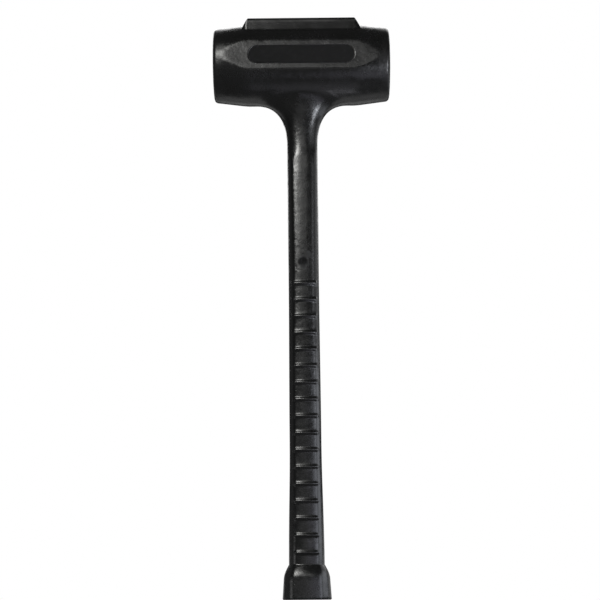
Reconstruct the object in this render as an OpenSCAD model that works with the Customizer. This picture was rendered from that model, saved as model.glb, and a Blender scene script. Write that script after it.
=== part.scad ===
// Dead-blow hammer cast in one piece of polyurethane round a steel insert.
// Frame: +Z runs up the handle from the butt end to the head, +X runs along the head.
// The origin is the centre of the butt end. The front and the back are alike.

/* [Head] */
// Length of the head from striking face to striking face
head_len = 176; // [176:1:200]
// Diameter of the barrel in the middle of the head
barrel_d = 80.5; // [78:0.5:90]
// Half length of the straight middle of the barrel
barrel_straight = 55; // [52:1:60]
// Diameter of a striking face, before its edge is rounded
face_d = 73.4; // [68:0.2:76]
// Radius that rounds the edge of a striking face
face_edge_r = 4; // [2:0.5:6]
// Height by which a striking face is crowned
face_crown = 0.7; // [0.3:0.1:1.5]
// Height of the head's axis above the butt end
head_axis_z = 527; // [505:1:560]

/* [Pad on the head] */
// Length of the pad's flat top
pad_len = 106; // [90:1:108]
// Width of the pad across the hammer
pad_w = 58; // [46:1:60]
// Height of the pad's top above the barrel
pad_rise = 0.3; // [0.3:0.1:4]
// Length of the pad over its upright ends, under the slopes
pad_foot_len = 120; // [114:1:124]
// Slope between the pad's top and its ends, measured from the vertical
pad_end_slope = 32; // [20:1:45]
// Radius of the pad's upright corners
pad_corner_r = 6.5; // [3:0.5:8]

/* [Label land] */
// Height of the flat land on the side of the barrel
land_h = 29; // [24:0.2:30]
// Length of the pocket in the land
pocket_len = 104; // [80:1:108]
// Height of the pocket in the land
pocket_h = 18; // [12:0.5:20]
// Depth of the pocket in the land
pocket_depth = 1; // [0.6:0.1:1.6]

/* [Handle] */
// Width of the shank under the head
shank_w = 30.5; // [28:0.5:34]
// Thickness of the shank across its two flats
shank_t = 23.6; // [22:0.2:26]
// Width of the grip above its swell
grip_w = 30.6; // [29:0.2:34]
// Width of the handle at its waist, above the ribs
waist_w = 29.6; // [28:0.2:33]
// Height of the waist above the butt end
waist_z = 310; // [305:1:350]
// Height at which the grip starts to swell towards the butt
swell_top = 150; // [120:1:180]
// Width of the grip where it meets the butt
swell_w = 34; // [32:0.5:37]
// Thickness of the grip where it meets the butt
swell_t = 26.6; // [25:0.2:30]
// Height over which the shank spreads into the head
neck_h = 44; // [36:1:55]
// Distance by which the neck spreads to each side along the head
neck_reach = 33; // [26:1:36]
// Diameter of the small locating-pin marks in the shank
pin_mark_d = 6; // [3:0.5:6]
// Depth of the locating-pin marks
pin_mark_depth = 0.6; // [0.3:0.1:1.2]
// Height of the locating-pin marks above the butt end
pin_mark_z = 326; // [318:1:345]

/* [Grip ribs] */
// Number of ribs on each flat of the grip
rib_count = 17; // [10:1:17]
// Distance from one rib to the next
rib_pitch = 16.2; // [13:0.1:16.4]
// Height of the lowest rib above the butt end
rib_first_z = 44; // [44:0.5:50]
// Length of a rib across the grip
rib_len = 25; // [20:0.5:26]
// Radius of a rib's rounded crest
rib_r = 3.2; // [2:0.1:3.2]
// Height by which a rib stands out of the flat
rib_rise = 0.8; // [0.6:0.1:1.6]

/* [Butt] */
// Width of the flared butt
butt_w = 46.8; // [42:0.2:54]
// Thickness of the flared butt
butt_t = 38.2; // [34:0.2:44]
// Height of the flared butt
butt_h = 41; // [38:0.5:41]
// Height of the straight band round the foot of the butt
butt_band = 8; // [5:0.5:12]
// Bevel round the edge of the butt end
butt_bevel = 1.5; // [1:0.1:3]

/* [Shot canister] */
// Outer diameter of the canister tube
can_d = 57; // [52:0.5:60]
// Wall of the canister tube
can_wall = 3.2; // [2.4:0.1:4]
// Length of the canister tube
can_len = 116; // [104:1:124]
// Thickness of an end cap's flange, outside the tube
cap_flange = 3; // [2:0.5:5]
// Depth of an end cap's spigot, inside the tube
cap_spigot = 6; // [4:0.5:8]
// Leg of the weld bead round each end cap
weld_leg = 2; // [1.5:0.1:2.5]

/* [Handle core] */
// Diameter of the steel core rod
rod_d = 12.7; // [10:0.1:14]
// Height of the rod's lower end above the butt end
rod_bottom_z = 24; // [18:1:30]
// Outer diameter of the socket that holds the rod
socket_d = 19.5; // [18:0.5:22]
// Length of the socket below the canister
socket_len = 20; // [16:1:24]
// Diameter of the pin through the socket and the rod
pin_d = 4; // [3:0.5:5]
// Diameter of the anchor washer at the foot of the rod
washer_d = 25; // [20:0.5:28]
// Thickness of the anchor washer
washer_t = 3; // [2:0.5:5]

/* [Shot] */
// Diameter of one steel ball of the charge
ball_d = 10; // [9:0.5:11]
// Number of balls in a row along the head
balls_long = 8; // [5:1:8]
// Number of layers in the charge
ball_layers = 4; // [2:1:4]
// Free space between one ball and the next
ball_gap = 0.2; // [0.1:0.05:0.4]

/* [Fits] */
// Space between the cast urethane and the steel inside it
bond_gap = 0.1; // [0.05:0.05:0.3]
// Space between steel pieces that fit into each other
fit_gap = 0.1; // [0.05:0.05:0.2]
// Space left between the shot and the canister when the shot lies at its stop
shot_gap = 0.3; // [0.2:0.1:1]

/* [Hidden] */
$fn = 96;

// Amount by which a cutting shape reaches past what it cuts
past = 2;

barrel_r = barrel_d / 2;
half_len = head_len / 2;
pad_top = barrel_r + pad_rise;
pad_foot_z = barrel_r / 3;
land_y = sqrt(pow(barrel_r, 2) - pow(land_h / 2, 2));

neck_z = head_axis_z - barrel_r - neck_h;
butt_flare = butt_h - butt_band;

can_r = can_d / 2;
can_bore_r = can_r - can_wall;
insert_half = can_len / 2 + cap_flange;
flange_r = can_r - weld_leg;

socket_bottom_z = head_axis_z - can_r - socket_len;
socket_r = socket_d / 2;
pin_z = socket_bottom_z + socket_len / 2;
rod_top_z = head_axis_z - can_r - fit_gap;

ball_r = ball_d / 2;
ball_pitch = ball_d + ball_gap;
ball_orbit = can_bore_r - ball_r - shot_gap;
layer_h = ball_pitch * sqrt(3) / 2;
first_layer_z = -sqrt(pow(ball_orbit, 2) - pow(ball_pitch / 2, 2));

// Goes smoothly from 0 to 1 as s goes from 0 to 1
function ease(s) = (1 - cos(180 * s)) / 2;
function mix(a, b, s) = a + (b - a) * s;

// Half width and half thickness of the grip and the shank at a height
function grip_half_w(z) =
    z < swell_top ? mix(swell_w, grip_w, ease((z - butt_h) / (swell_top - butt_h))) / 2
    : z < waist_z ? mix(grip_w, waist_w, ease((z - swell_top) / (waist_z - swell_top))) / 2
    : mix(waist_w, shank_w, ease((z - waist_z) / (neck_z - waist_z))) / 2;
function grip_half_t(z) =
    mix(swell_t, shank_t, ease(min(1, (z - butt_h) / (swell_top - butt_h)))) / 2;

// Stations of the handle as [z, half_w, half_t]: the butt's end and flare, one station
// between every two ribs, and a few up the shank
butt_steps = 6;
shank_steps = 4;
rib_gaps = [for (k = [0 : rib_count - 1]) rib_first_z + (k + 0.5) * rib_pitch];
last_gap = rib_gaps[rib_count - 1];
shank_levels = [for (i = [1 : shank_steps]) mix(last_gap, neck_z, i / shank_steps)];
handle_stations = concat(
    [[0, butt_w / 2 - butt_bevel, butt_t / 2 - butt_bevel],
     [butt_bevel, butt_w / 2, butt_t / 2]],
    [for (i = [0 : butt_steps]) let (s = i / butt_steps)
        [butt_band + butt_flare * s,
         mix(swell_w, butt_w, cos(90 * s)) / 2,
         mix(swell_t, butt_t, cos(90 * s)) / 2]],
    [for (z = concat(rib_gaps, shank_levels)) [z, grip_half_w(z), grip_half_t(z)]]);
function flat_at(z) = lookup(z, [for (s = handle_stations) [s[0], s[2]]]);

// Lays what was made along Z along the head's axis instead
module along_head() {
    translate([0, 0, head_axis_z]) rotate([0, 90, 0]) children();
}

// Half of the barrel's outline from the middle to one striking face, as [radius, distance]
module barrel_outline() {
    face_r = face_d / 2;
    edge = [for (a = [0 : 18 : 90])
        [face_r - face_edge_r * (1 - cos(a)), half_len - face_crown - face_edge_r * (1 - sin(a))]];
    flat_r = face_r - face_edge_r;
    crown = [for (i = [5 : -1 : 0]) let (r = flat_r * i / 6)
        [r, half_len - face_crown * pow(r / flat_r, 2)]];
    side = [[0, 0], [barrel_r, 0], [barrel_r, barrel_straight]];
    polygon(concat(side, edge, crown));
}

module barrel() {
    along_head() {
        rotate_extrude() union() {
            barrel_outline();
            mirror([0, 1]) barrel_outline();
        }
    }
}

// Foot print of the pad with rounded corners
module pad_plan() {
    foot_half = pad_foot_len / 2;
    square([pad_foot_len - 2 * pad_corner_r, pad_w], center = true);
    square([pad_foot_len, pad_w - 2 * pad_corner_r], center = true);
    for (x = [-1, 1], y = [-1, 1])
        translate([x * (foot_half - pad_corner_r), y * (pad_w / 2 - pad_corner_r)])
            circle(r = pad_corner_r);
}

// Flat-topped pad with sloped ends, where the urethane was poured
module pad() {
    top_half = pad_len / 2;
    foot_half = top_half + (pad_top - pad_foot_z) * tan(pad_end_slope);
    translate([0, 0, head_axis_z]) intersection() {
        translate([0, 0, pad_foot_z])
            linear_extrude(height = pad_top - pad_foot_z) pad_plan();
        rotate([90, 0, 0])
            linear_extrude(height = pad_w + 2 * past, center = true)
                polygon([[-foot_half, pad_foot_z], [foot_half, pad_foot_z],
                         [top_half, pad_top], [-top_half, pad_top]]);
    }
}

// One point of the neck's surface: side is the angle round the handle, t goes from 0 to 1
// up the neck. The curve leaves the shank upright and meets the barrel at a tangent.
function neck_point(side, t, lift) = let (
        half_w = shank_w / 2,
        half_t = shank_t / 2,
        seat_r = barrel_r + lift,
        x0 = half_w * cos(side),
        y0 = max(-half_t, min(half_t, half_w * sin(side))),
        x2 = (half_w + neck_reach) * cos(side),
        y2 = y0 * seat_r * (half_t + neck_reach) / (seat_r + neck_reach) / half_t,
        z2 = sqrt(pow(seat_r, 2) - pow(y2, 2)),
        z1 = (pow(seat_r, 2) - y0 * y2) / z2,
        p0 = [x0, y0, neck_z],
        p1 = [x0, y0, head_axis_z - z1],
        p2 = [x2, y2, head_axis_z - z2])
    p0 * pow(1 - t, 2) + p1 * 2 * t * (1 - t) + p2 * pow(t, 2);

// Flared neck as one closed surface of rings, which dives into the shank and into the barrel
module neck(sides = 48, steps = 9, lift = 0.15) {
    tuck = 0.99;
    function ring(t) = [for (i = [0 : sides - 1]) neck_point(360 * i / sides, t, lift)];
    foot = [for (p = ring(0)) [p[0] * tuck * tuck, p[1] * tuck * tuck, p[2] - neck_h / 4]];
    start = [for (p = ring(0)) [p[0] * tuck, p[1] * tuck, p[2]]];
    flare = [for (k = [1 : steps]) for (p = ring(k / steps)) p];
    root = [for (p = ring(1)) [p[0] * 0.9, p[1] * 0.9, p[2] + barrel_r / 6]];
    points = concat(foot, start, flare, root,
        [[0, 0, neck_z - neck_h / 4], [0, 0, head_axis_z - barrel_r / 2]]);
    last = steps + 2;
    foot_pole = (last + 1) * sides;
    function at(k, i) = k * sides + i % sides;
    walls = [for (k = [0 : last - 1]) for (i = [0 : sides - 1]) for (half = [0, 1])
        half == 0 ? [at(k, i), at(k + 1, i), at(k + 1, i + 1)]
                  : [at(k, i), at(k + 1, i + 1), at(k, i + 1)]];
    ends = [for (i = [0 : sides - 1]) for (top = [0, 1])
        top == 0 ? [foot_pole, at(0, i), at(0, i + 1)]
                 : [foot_pole + 1, at(last, i + 1), at(last, i)]];
    polyhedron(points = points, faces = concat(walls, ends), convexity = 6);
}

// Shank, grip and butt: a turned form with a flat milled on the front and on the back
module handle() {
    turned = [for (s = handle_stations) [s[1], s[0]]];
    front = [for (s = handle_stations) [s[2], s[0]]];
    back = [for (i = [len(front) - 1 : -1 : 0]) [-front[i][0], front[i][1]]];
    intersection() {
        rotate_extrude() polygon(concat([[0, 0]], turned, [[0, neck_z]]));
        rotate([90, 0, 90])
            linear_extrude(height = butt_w + 2 * past, center = true)
                polygon(concat(front, back));
    }
}

// One rib: a round bar with bevelled ends that lies half sunk in the flat
module rib() {
    half = rib_len / 2;
    bevel = rib_r * 0.8;
    rotate([0, 90, 0]) rotate_extrude() polygon([
        [0, -half], [rib_r / 2, -half], [rib_r, -half + bevel],
        [rib_r, half - bevel], [rib_r / 2, half], [0, half]]);
}

module grip_ribs() {
    for (k = [0 : rib_count - 1], side = [-1, 1]) {
        z = rib_first_z + k * rib_pitch;
        translate([0, side * (flat_at(z) + rib_rise - rib_r), z]) rib();
    }
}

// Flat land on one side of the barrel and the pocket in it
module land_cut() {
    reach = barrel_r - land_y + past;
    straight = (pocket_len - pocket_h) / 2;
    translate([-half_len, land_y, -land_h])
        cube([head_len, reach, 2 * land_h]);
    translate([0, land_y - pocket_depth, 0]) rotate([-90, 0, 0]) {
        for (x = [-straight, straight])
            translate([x, 0, 0]) cylinder(h = reach, d = pocket_h);
        translate([-straight, -pocket_h / 2, 0]) cube([2 * straight, pocket_h, reach]);
    }
}

module pin_mark() {
    flat = flat_at(pin_mark_z);
    translate([0, flat - pin_mark_depth, pin_mark_z])
        rotate([-90, 0, 0]) cylinder(h = pin_mark_depth + past, d = pin_mark_d);
}

// Space that the steel insert fills inside the casting, with gap all round
module insert_space(gap) {
    along_head()
        cylinder(h = 2 * (insert_half + gap), r = can_r + gap, center = true);
    translate([0, 0, socket_bottom_z - gap])
        cylinder(h = socket_len + can_r, d = socket_d + 2 * gap);
    weld_cone(gap);
    translate([0, 0, rod_bottom_z])
        cylinder(h = socket_bottom_z - rod_bottom_z, d = rod_d + 2 * gap);
    translate([0, 0, rod_bottom_z - washer_t - gap])
        cylinder(h = washer_t + 2 * gap, d = washer_d + 2 * gap);
}

// The cast urethane: head, pad, neck, shank, grip and butt in one piece
module urethane_jacket() {
    color([0.09, 0.09, 0.1]) difference() {
        union() {
            barrel();
            pad();
            neck();
            handle();
            grip_ribs();
        }
        for (turn = [0, 180]) rotate([0, 0, turn]) {
            translate([0, 0, head_axis_z]) land_cut();
            pin_mark();
        }
        insert_space(bond_gap);
    }
}

// Steel tube that holds the shot
module canister_tube() {
    color("dimgray") along_head() difference() {
        cylinder(h = can_len, r = can_r, center = true);
        cylinder(h = can_len + 2 * past, r = can_bore_r, center = true);
    }
}

// Steel cap on the end of the tube at +X: a flange outside and a spigot inside
module end_cap() {
    translate([can_len / 2, 0, head_axis_z]) rotate([0, 90, 0]) {
        cylinder(h = cap_flange, r = flange_r);
        translate([0, 0, -cap_spigot]) cylinder(h = cap_spigot, r = can_bore_r - fit_gap);
    }
}

module right_end_cap() {
    color("gray") end_cap();
}

module left_end_cap() {
    color("gray") mirror([1, 0, 0]) end_cap();
}

// Weld bead in the corner between a cap's flange and the end of the tube
module cap_weld() {
    translate([can_len / 2, 0, head_axis_z]) rotate([0, 90, 0]) rotate_extrude()
        polygon([[flange_r, 0], [flange_r + weld_leg, 0], [flange_r, weld_leg]]);
}

module right_cap_weld() {
    color("darkslategray") cap_weld();
}

module left_cap_weld() {
    color("darkslategray") mirror([1, 0, 0]) cap_weld();
}

// The steel balls, in layers that nest in the lower part of the canister
module shot_charge() {
    color("silver") translate([0, 0, head_axis_z])
        for (layer = [0 : ball_layers - 1]) {
            z = first_layer_z + layer * layer_h;
            shift = layer % 2 == 0 ? ball_pitch / 2 : 0;
            for (j = [-4 : 4]) {
                y = j * ball_pitch + shift;
                if (norm([y, z]) <= ball_orbit + 0.01)
                    for (i = [0 : balls_long - 1])
                        translate([(i - (balls_long - 1) / 2) * ball_pitch, y, z])
                            sphere(r = ball_r);
            }
        }
}

// Steel collar under the canister that takes the top of the rod
module rod_socket() {
    color("slategray") difference() {
        translate([0, 0, socket_bottom_z]) cylinder(h = socket_len + can_r, d = socket_d);
        along_head() cylinder(h = can_len, r = can_r, center = true);
        translate([0, 0, socket_bottom_z - past])
            cylinder(h = socket_len + past + can_r / 2, d = rod_d + 2 * fit_gap);
        translate([0, 0, pin_z]) rotate([0, 90, 0])
            cylinder(h = socket_d + 2 * past, d = pin_d, center = true);
        translate([-socket_d, -socket_d, head_axis_z - can_r / 2])
            cube([2 * socket_d, 2 * socket_d, can_r]);
    }
}

// Cone of weld metal round the top of the socket, before the tube is cut out of it
module weld_cone(gap) {
    leg = 2 * weld_leg;
    low = head_axis_z - can_r - leg / 2 - gap;
    translate([0, 0, low])
        cylinder(h = 2 * leg, r1 = socket_r + gap, r2 = socket_r + leg + gap);
}

module socket_weld() {
    color("darkslategray") difference() {
        weld_cone(0);
        along_head() cylinder(h = can_len, r = can_r, center = true);
        translate([0, 0, socket_bottom_z]) cylinder(h = socket_len + can_r, d = socket_d);
    }
}

// Steel rod that stiffens the handle
module core_rod() {
    color("lightslategray") difference() {
        translate([0, 0, rod_bottom_z]) cylinder(h = rod_top_z - rod_bottom_z, d = rod_d);
        translate([0, 0, pin_z]) rotate([0, 90, 0])
            cylinder(h = socket_d + 2 * past, d = pin_d, center = true);
    }
}

// Pin that keeps the rod in its socket
module socket_pin() {
    color("silver") translate([0, 0, pin_z]) rotate([0, 90, 0])
        cylinder(h = socket_d - 2 * fit_gap, d = pin_d - 2 * fit_gap, center = true);
}

// Washer welded under the rod that keeps the rod from pulling out of the butt
module anchor_washer() {
    color("gray") translate([0, 0, rod_bottom_z - washer_t]) cylinder(h = washer_t, d = washer_d);
}

urethane_jacket();
canister_tube();
left_end_cap();
right_end_cap();
left_cap_weld();
right_cap_weld();
shot_charge();
rod_socket();
socket_weld();
core_rod();
socket_pin();
anchor_washer();
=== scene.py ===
import bmesh
import bpy
import numpy as np
from mathutils import Matrix, Vector


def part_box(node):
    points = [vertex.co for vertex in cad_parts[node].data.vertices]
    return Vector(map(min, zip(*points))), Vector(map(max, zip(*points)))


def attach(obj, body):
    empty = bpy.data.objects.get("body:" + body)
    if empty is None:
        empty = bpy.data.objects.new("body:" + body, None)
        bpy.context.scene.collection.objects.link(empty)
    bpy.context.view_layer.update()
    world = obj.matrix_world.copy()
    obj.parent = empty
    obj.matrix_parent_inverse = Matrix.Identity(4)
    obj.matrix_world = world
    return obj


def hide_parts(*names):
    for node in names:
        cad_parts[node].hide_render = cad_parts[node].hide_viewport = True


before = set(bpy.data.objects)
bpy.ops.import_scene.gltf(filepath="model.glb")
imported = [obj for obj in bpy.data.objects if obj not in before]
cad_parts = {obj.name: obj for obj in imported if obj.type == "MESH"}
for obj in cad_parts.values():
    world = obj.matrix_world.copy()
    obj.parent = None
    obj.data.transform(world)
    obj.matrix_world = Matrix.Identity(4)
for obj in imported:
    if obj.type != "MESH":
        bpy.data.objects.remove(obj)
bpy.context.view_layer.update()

# %% [markdown]
# # A dead-blow hammer cast in polyurethane
#
# The hammer is one black casting: a barrel head, a poured pad on its top, a flat land with a
# shallow pocket on each side, a neck, a ribbed grip and a flared butt. Steel lies sealed inside.
# The casting could be built as a rough block that is sculpted, or as separate tubes that cross.
# Here it is one closed skin of numpy grids that share their edge points, because a casting has
# no seam where its handle meets its head, and light shows each seam on a glossy black surface.

# %% Sizes read from the frame
MM = 0.001


def node_box(node):
    """Lowest and highest corner of a CAD node, in millimetres."""
    low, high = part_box(node)
    return np.array(low) / MM, np.array(high) / MM


_, jacket_high = node_box("urethane_jacket")
can_low, can_high = node_box("canister_tube")
HEAD_HALF = jacket_high[0]
LAND_Y = jacket_high[1]
AXIS_Z = (can_low[2] + can_high[2]) / 2
PAD_TOP = jacket_high[2] - AXIS_Z
print(f"head {2 * HEAD_HALF:.0f} mm long, its axis at {AXIS_Z:.0f} mm, lands at {LAND_Y:.1f} mm")

# %% [markdown]
# ## Sizes of the casting
#
# The frame gives the head's length, the height of its axis and the place of its flats. All
# other sizes are proportions of the real hammer, turned into millimetres. They could be typed
# in where they are used. Named in one place they can be compared, and changed together.

# %% Sizes of the casting, in millimetres
# The barrel: its radius, half of its straight part, and the striking faces.
BARREL_R, BARREL_STRAIGHT = 40.25, 55.0
FACE_R, FACE_EDGE_R, FACE_CROWN = 36.7, 4.0, 0.7

# The pad: half lengths of its top and its foot, half width, upright corners, the slopes of
# its ends and its sides against upright, and the height where the sides begin.
PAD_HALF_LEN, PAD_FOOT_HALF, PAD_HALF_W, PAD_CORNER_R = 53.0, 60.0, 29.0, 6.5
PAD_SLOPE, PAD_DRAFT = np.tan(np.radians(32)), np.tan(np.radians(4))
PAD_FOOT_Z = BARREL_R * 0.7

# The thin lip below the pad's top edge, and the lengths of the waves that make it uneven.
LIP_BELOW, LIP_RISE, LIP_HALF_H, LIP_WAVES = 1.6, 0.22, 0.9, (5.3, 9.1)

# The pocket in the land.
POCKET_HALF_LEN, POCKET_HALF_H, POCKET_DEPTH = 52.0, 9.0, 1.0

# The neck: its height below the barrel, how far it spreads, and its bulge front and back.
NECK_H, NECK_REACH, NECK_LEAN = 44.0, 33.0, 1.3
NECK_Z = AXIS_Z - BARREL_R - NECK_H

# The handle from the top: half widths, half thicknesses and heights.
SHANK_HALF_W, SHANK_HALF_T = 15.25, 11.8
WAIST_HALF_W, WAIST_Z = 14.8, 310.0
GRIP_HALF_W, SWELL_TOP = 15.3, 150.0
SWELL_HALF_W, SWELL_HALF_T = 17.0, 13.3
BUTT_HALF_W, BUTT_HALF_T = 23.4, 19.1
BUTT_H, BUTT_STEEP, BUTT_BEVEL = 33.0, 13.0, 1.5

# The ribs on the grip, and the mark that a locating pin of the mould leaves above them.
RIBS, RIB_PITCH, RIB_FIRST_Z = 17, 16.2, 44.0
RIB_HALF_LEN, RIB_HALF_H, RIB_RISE, RIB_END = 12.8, 2.8, 0.9, 3.5
MARK_Z, MARK_R, MARK_DEPTH = 326.0, 3.0, 0.9

# How close two surfaces come before the corner between them is rounded off. The crease of
# the handle changes from CREASE_SOFT to NECK_SOFT over a height of NECK_FADE.
TAPER_SOFT, PAD_EDGE_SOFT, PAD_FOOT_SOFT, LAND_SOFT, POCKET_SOFT = 0.6, 1.6, 0.9, 0.5, 0.9
CREASE_SOFT, NECK_SOFT, NECK_FADE, RIB_SOFT = 1.1, 6.5, 18.0, 0.25
print(f"pocket {2 * POCKET_HALF_LEN:.0f} mm long, handle {2 * SHANK_HALF_W:.1f} mm wide")

# %% [markdown]
# ## Soft corners
#
# A mould has no knife edges: each corner of the casting is rounded by a fraction of a
# millimetre up to a few. A Bevel modifier could do that after the mesh is made. The shapes
# here are formulas, so a rounded minimum and a rounded maximum of two surfaces do it sooner,
# with a radius that may change along the edge.

# %% Helpers for shapes


def soft_min(a, b, k):
    """The smaller of a and b, rounded off where they come within k of each other."""
    h = np.clip(1 - np.abs(a - b) / k, 0, 1)
    return np.minimum(a, b) - h * h * k / 4


def soft_max(a, b, k):
    """The larger of a and b, rounded off where they come within k of each other."""
    return -soft_min(-a, -b, k)


def ease(s):
    """Goes from 0 to 1 along half a cosine wave, and stays level outside."""
    return (1 - np.cos(np.pi * np.clip(s, 0, 1))) / 2


def mix(a, b, s):
    """The value a share s of the way from a to b."""
    return a + (b - a) * s


def grid_lines(*stops):
    """Places of grid lines. Each stop is (place, spacing up to the next stop)."""
    parts = [
        np.linspace(a, b, max(1, round((b - a) / step)), endpoint=False)
        for (a, step), (b, _) in zip(stops, stops[1:])
    ]
    return np.append(np.concatenate(parts), stops[-1][0])


print("a corner where 1 meets 1, rounded over 1:", soft_min(1.0, 1.0, 1.0))

# %% [markdown]
# ## The barrel
#
# The barrel is turned: a straight middle, two tapers and two striking faces with a rounded
# edge and a slight crown. Its outline is a list of distances along the head and of radii,
# and each point of the grid is an outline point turned by an angle round the head's axis.

# %% Outline of the barrel
SIDE_STOPS = ((0, 3.6), (40, 0.8), (54, 0.8), (63, 1.3), (76, 2.4))
EDGE_POINTS, FACE_POINTS = 9, 9
FACE_FIRST, FACE_LAST = 0.93, 0.06


def barrel_outline():
    """Half of the outline, from the middle to a striking face, as (distance, radius).

    The side is level and then falls along a taper. The edge is an arc that meets the taper
    and the face at a tangent. The face is a parabola: it falls back from the middle with the
    square of the radius. Its points run from FACE_FIRST to FACE_LAST of its radius, and a
    pole closes it."""
    edge_x = HEAD_HALF - FACE_CROWN - FACE_EDGE_R
    edge_r = FACE_R - FACE_EDGE_R
    taper = np.arctan((BARREL_R - FACE_R) / (edge_x - BARREL_STRAIGHT))
    crown = np.arctan(2 * FACE_CROWN / edge_r)
    x = grid_lines(*SIDE_STOPS, (edge_x + FACE_EDGE_R * np.sin(taper), 0))[:-1]
    fall = BARREL_R - (x - BARREL_STRAIGHT) * np.tan(taper)
    side = np.stack([x, soft_min(fall, BARREL_R, TAPER_SOFT)], 1)
    turn = np.linspace(taper, np.pi / 2 - crown, EDGE_POINTS)
    arc = np.stack([edge_x + FACE_EDGE_R * np.sin(turn), edge_r + FACE_EDGE_R * np.cos(turn)], 1)
    r = arc[-1, 1] * np.linspace(FACE_FIRST, FACE_LAST, FACE_POINTS)
    face = np.stack([HEAD_HALF - FACE_CROWN * (r / arc[-1, 1]) ** 2, r], 1)
    return np.concatenate([side, arc, face])


half_outline = barrel_outline()
outline = np.concatenate([half_outline[:0:-1] * [-1, 1], half_outline])
print("outline points of the barrel:", len(outline))

# %% [markdown]
# ## The land, the pocket and the pad
#
# On the real head the land is a flat that the mould leaves on each side of the barrel, with
# a shallow pocket in it, and the pad is where the urethane was poured. They could be cut with
# booleans, which leave long thin faces. Here each one moves the grid's own points: the land
# stops them at a plane, the pocket sinks them behind a rounded outline, and the pad pushes
# them out to its walls. The angle is counted from the front, so 90 degrees is the top.

# %% Points on the head
PAD_TURNS = (0.7, 1.2)
UPPER_FROM = 0.5
LEAST_SHARE = 0.02
FOOT_MARGIN = 0.5


def pad_radius(x, angle):
    """Distance from the head's axis to the pad's surface in a direction, or 0 beside the pad.

    The top is level and falls along the slopes of the ends. The sides are walls with a slight
    draft that pull in round the upright corners. A thin lip, a bell curve in height, runs
    along them below the top edge, where the pour stood. In a direction the top is as far away
    as its height divided by the sine, and a wall as its width divided by the cosine. The
    nearer one counts. PAD_TURNS holds the turns, in radians, between which a wall is met."""
    past_top = np.maximum(np.abs(x) - PAD_HALF_LEN, 0)
    top = PAD_TOP - past_top / PAD_SLOPE
    into_corner = np.clip(np.abs(x) - (PAD_FOOT_HALF - PAD_CORNER_R), 0, PAD_CORNER_R)
    pull_in = PAD_CORNER_R - np.sqrt(PAD_CORNER_R ** 2 - into_corner ** 2)
    turn = np.arctan2(np.sin(angle), np.abs(np.cos(angle)))
    wall_z = PAD_HALF_W * np.tan(np.clip(turn, *PAD_TURNS))
    short, long = LIP_WAVES
    uneven = 1 + 0.5 * np.sin(x / short) * np.sin(x / long + 1)
    lip = LIP_RISE * np.exp(-((wall_z - (PAD_TOP - LIP_BELOW)) / LIP_HALF_H) ** 2) * uneven
    side = PAD_HALF_W - pull_in + lip - PAD_DRAFT * np.clip(wall_z - PAD_FOOT_Z, 0, PAD_TOP)
    up = np.clip(np.sin(angle), LEAST_SHARE, 1)
    out = np.clip(np.abs(np.cos(angle)), LEAST_SHARE, 1)
    inside = np.abs(x) < PAD_FOOT_HALF + FOOT_MARGIN
    return np.where(inside & (top > 1), soft_min(top / up, side / out, PAD_EDGE_SOFT), 0)


def pocket_share(x, z):
    """1 inside the pocket's rounded outline and 0 outside, with a short slope between.

    The outline is all points that lie POCKET_HALF_H from a straight line in its middle."""
    straight = POCKET_HALF_LEN - POCKET_HALF_H
    gap = np.hypot(np.maximum(np.abs(x) - straight, 0), z) - POCKET_HALF_H
    return ease(0.5 - gap / POCKET_SOFT)


def head_point(x, r, angle):
    """Point of the head's surface for an outline point turned by an angle.

    Where the sine of the angle is above UPPER_FROM the larger of barrel and pad counts. Below
    that the point is stopped at the land's plane, and the pocket's depth is taken off."""
    upper = np.sin(angle) > UPPER_FROM
    r = np.where(upper, soft_max(r, pad_radius(x, angle), PAD_FOOT_SOFT), r)
    z = r * np.sin(angle)
    y = np.abs(r * np.cos(angle))
    flat = soft_min(y, LAND_Y, LAND_SOFT) - POCKET_DEPTH * pocket_share(x, z) * (y > LAND_Y)
    y = -np.sign(np.cos(angle)) * np.where(upper, y, flat)
    return np.stack([x + 0 * angle, y, AXIS_Z + z], -1)


print(f"pad top {PAD_TOP:.1f} mm above the axis, {PAD_TOP - BARREL_R:.1f} mm above the barrel")

# %% [markdown]
# ## Where the head's grid is fine
#
# A grid can only show an edge where some of its lines run close to it. An even grid that fine
# would have millions of points. So its lines stand close together at the rims of the land, at
# the walls of the pocket and at the pad's foot and top edge, and far apart on the plain barrel.

# %% Grid of the head
TURN_STOPS = (
    (-90, 3.75), (-45, 3.1),
    (-23, 0.8), (-19, 0.9), (-14.5, 0.4), (-11.5, 0.95), (11.5, 0.4), (14.5, 0.9), (19, 0.5),
    (23, 3.1),
    (42, 1), (44, 0.5), (48, 0.8), (53, 0.45), (58, 1.2),
    (62, 4), (90, 0),
)
front_turns = grid_lines(*TURN_STOPS)
turns = np.radians(np.concatenate([front_turns, 180 - front_turns[-2:0:-1]]))
head_grid = head_point(outline[:, :1], outline[:, 1:], turns[None, :])
print("head grid:", head_grid.shape[0], "rows of", head_grid.shape[1])

# %% [markdown]
# ## The handle
#
# The handle is a bar with two nearly flat faces and two round edges. It thins to a waist,
# swells towards the butt and ends in a flare, which is steep at first and then nearly
# straight down to the flat end. A subdivided box would lose the crease between flat and edge,
# so each ring is a circle whose front and back are cut by a slightly crowned flat. The ribs
# stand out of the flats as low ridges, and follow their crown. Above them a locating pin of
# the mould has left a shallow round mark.

# %% Rings of the handle
COLUMNS = 144
FLAT_CROWN = 1.1
STEEP_SHARE = 0.65
MARK_EDGE = 2.6
ring_angle = 2 * np.pi * np.arange(COLUMNS) / COLUMNS
ring_side = np.where(np.sin(ring_angle) < 0, -1, 1)


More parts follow.
